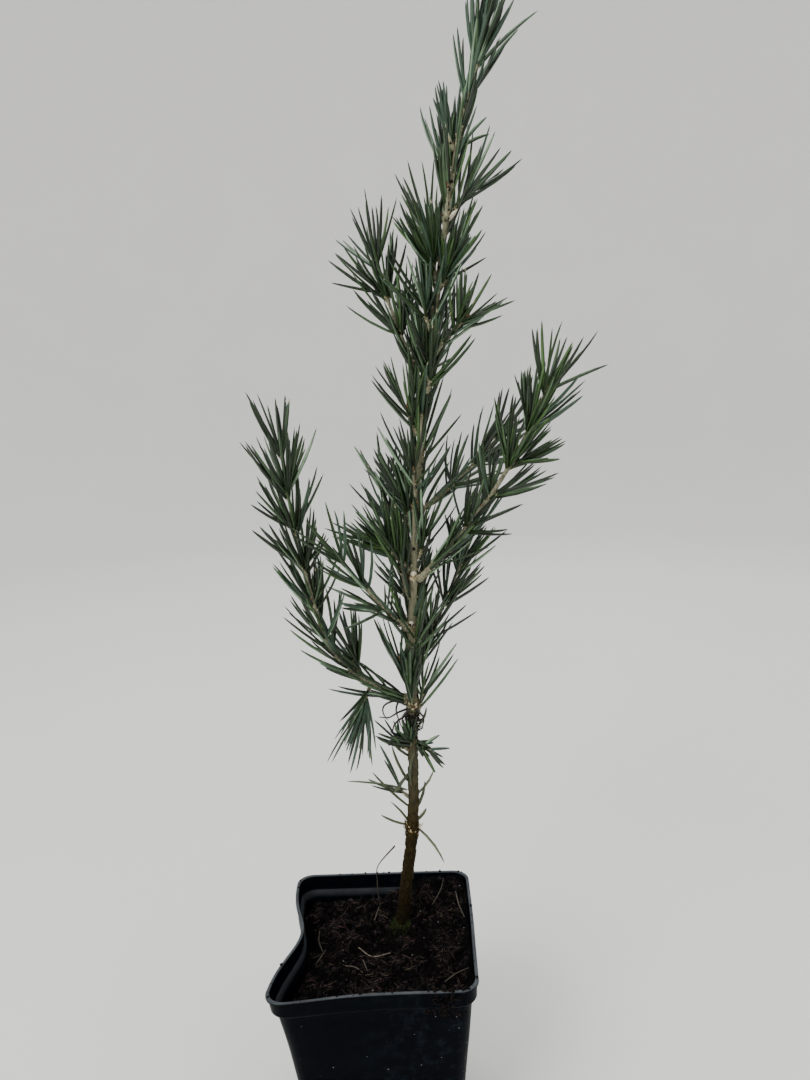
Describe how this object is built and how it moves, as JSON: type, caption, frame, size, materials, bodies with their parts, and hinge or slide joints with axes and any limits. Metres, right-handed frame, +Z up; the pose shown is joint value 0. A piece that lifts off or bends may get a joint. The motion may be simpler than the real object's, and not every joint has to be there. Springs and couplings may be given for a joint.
{
  "type": "potted cedar of lebanon",
  "caption": "Young potted conifer with a slender leaning leader, upswept side shoots and tufts of long dark needles, in a dented square black nursery pot.",
  "frame": {"origin": "centre of the pot's flat underside", "axes": "+Z up, the side that the picture shows faces -Y, and the leader leans towards +X"},
  "size_m": [0.1551, 0.1024, 0.5257],
  "materials": {
    "pot_plastic": "moulded black nursery plastic, dusty, semi-gloss",
    "compost": "moist fibrous compost",
    "bark": "thin fissured bark",
    "young_bark": "smooth buff young bark",
    "needles": "waxy dark blue-green needles"
  },
  "bodies": {
    "root": {"pot": "pot_plastic", "compost": "compost", "trunk": "bark", "right_bough": "young_bark", "right_low_bough": "young_bark", "right_inner_bough": "young_bark", "right_mid_bough": "young_bark", "upper_left_bough": "young_bark", "mid_left_bough": "young_bark", "back_low_bough": "young_bark", "back_mid_bough": "young_bark", "back_high_bough": "young_bark", "low_left_bough": "young_bark", "right": "needles", "right_low": "needles", "right_inner": "needles", "right_mid": "needles", "upper_left": "needles", "mid_left": "needles", "back_low": "needles", "back_mid": "needles", "back_high": "needles", "left_spur": "needles", "left_spur_high": "needles", "front_tuft": "needles", "right_tuft": "needles", "top_right": "needles", "top_left": "needles", "low_left": "needles", "hanging": "needles", "low_left_middle": "needles", "low_left_inner": "needles", "leader_tip": "needles", "sprig_left": "needles", "sprig_right": "needles", "sprig_foot": "needles", "tuft_01": "needles", "tuft_02": "needles", "tuft_03": "needles", "tuft_04": "needles", "tuft_05": "needles", "tuft_06": "needles", "tuft_07": "needles", "tuft_08": "needles", "tuft_09": "needles", "tuft_10": "needles", "tuft_11": "needles", "tuft_12": "needles", "tuft_13": "needles", "tuft_14": "needles", "tuft_15": "needles", "tuft_16": "needles", "tuft_17": "needles", "tuft_18": "needles"}
  },
  "joints": []
}
